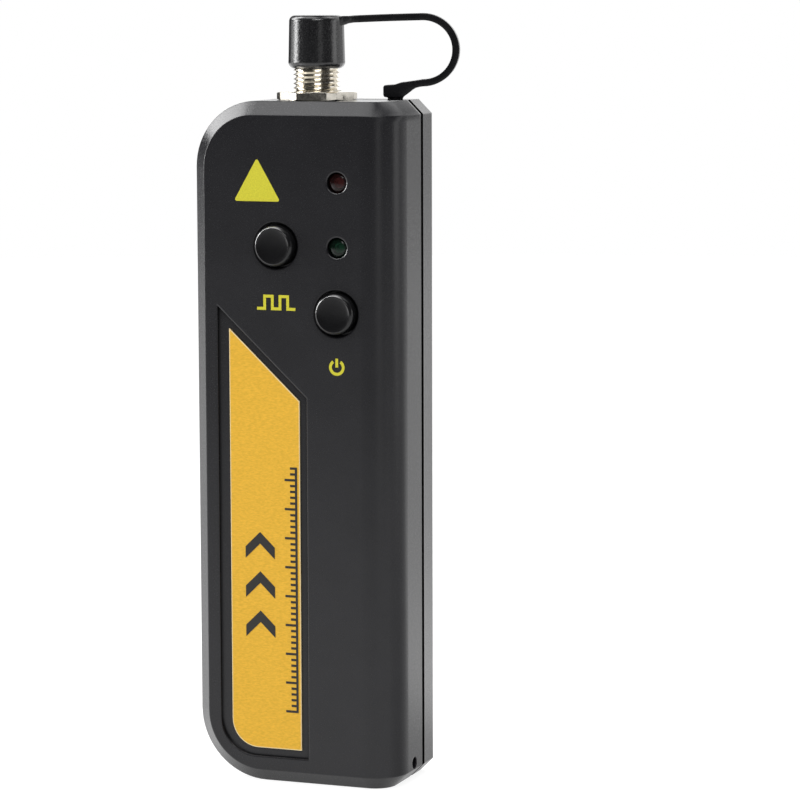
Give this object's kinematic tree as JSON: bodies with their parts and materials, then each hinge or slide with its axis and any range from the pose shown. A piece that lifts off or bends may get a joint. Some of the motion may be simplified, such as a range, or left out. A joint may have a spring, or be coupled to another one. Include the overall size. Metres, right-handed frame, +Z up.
{
  "type": "visual fault locator",
  "caption": "Pocket red laser source for fibre tracing: flat black case with a yellow label, two push buttons, two lamps and a capped threaded fibre port on top.",
  "frame": {"origin": "centre of the flat bottom end of the case", "axes": "+Z up the case to the fibre port, the front face with the buttons looks toward -Y, +X to the right as the front is read"},
  "size_m": [0.0429, 0.0208, 0.1314],
  "materials": {
    "case_black": "fine satin texture, moulded ABS",
    "door_black": "fine satin texture, moulded ABS",
    "button_black": "satin",
    "label_yellow": "printed film, satin",
    "print_black": "ink",
    "print_yellow": "ink",
    "switch_black": "moulded",
    "lamp_red": "tinted epoxy",
    "lamp_green": "tinted epoxy",
    "lead_tin": "tinned",
    "board_green": "solder mask",
    "chip_black": "moulded epoxy",
    "chip_tan": "fired",
    "module_brass": "turned",
    "diode_gold": "gold flash",
    "lens_clear": "polished",
    "port_nickel": "bright nickel plate on brass",
    "sleeve_white": "ground zirconia",
    "cap_rubber": "glossy moulded rubber",
    "cell_sleeve": "plain shrink sleeve",
    "contact_nickel": "nickel plated spring steel",
    "screw_steel": "zinc plated"
  },
  "bodies": {
    "housing": {"front_shell": "case_black", "rear_shell": "case_black", "label": "label_yellow", "label_marks": "print_black", "front_marks": "print_yellow", "tact_switches": "switch_black", "lamp_red": "lamp_red", "lamp_green": "lamp_green", "lamp_leads": "lead_tin", "circuit_board": "board_green", "driver_chip": "chip_black", "small_chips": "chip_tan", "laser_housing": "module_brass", "laser_diode": "diode_gold", "diode_leads": "lead_tin", "focus_lens": "lens_clear", "port_barrel": "port_nickel", "ferrule_sleeve": "sleeve_white", "port_nut": "port_nickel", "cap_strap": "cap_rubber", "cell_left": "cell_sleeve", "cell_right": "cell_sleeve", "battery_springs": "contact_nickel", "contact_bridge": "contact_nickel", "contact_positive": "contact_nickel", "contact_negative": "contact_nickel", "shell_screws": "screw_steel", "board_screws": "screw_steel"},
    "dust_cap": {"dust_cap": "cap_rubber"},
    "mod_key": {"button_mod": "button_black", "plunger_mod": "switch_black"},
    "pwr_key": {"button_pwr": "button_black", "plunger_pwr": "switch_black"},
    "door": {"battery_door": "door_black"}
  },
  "joints": [
    {"name": "cap_pull", "type": "slide", "parent": "housing", "child": "dust_cap", "axis": [0, 0, 1], "range_m": [0, 0.016], "deforming": ["cap_strap"]},
    {"name": "mod_press", "type": "slide", "parent": "housing", "child": "mod_key", "axis": [0, 1, 0], "range_m": [0, 0.0005], "stiffness_N_per_m": 2500, "springref_m": -0.0002},
    {"name": "pwr_press", "type": "slide", "parent": "housing", "child": "pwr_key", "axis": [0, 1, 0], "range_m": [0, 0.0005], "stiffness_N_per_m": 2500, "springref_m": -0.0002},
    {"name": "door_swing", "type": "hinge", "parent": "housing", "child": "door", "pos_m": [0, 0.0087, 0.0083], "axis": [-1, 0, 0], "range_deg": [0, 45]}
  ]
}
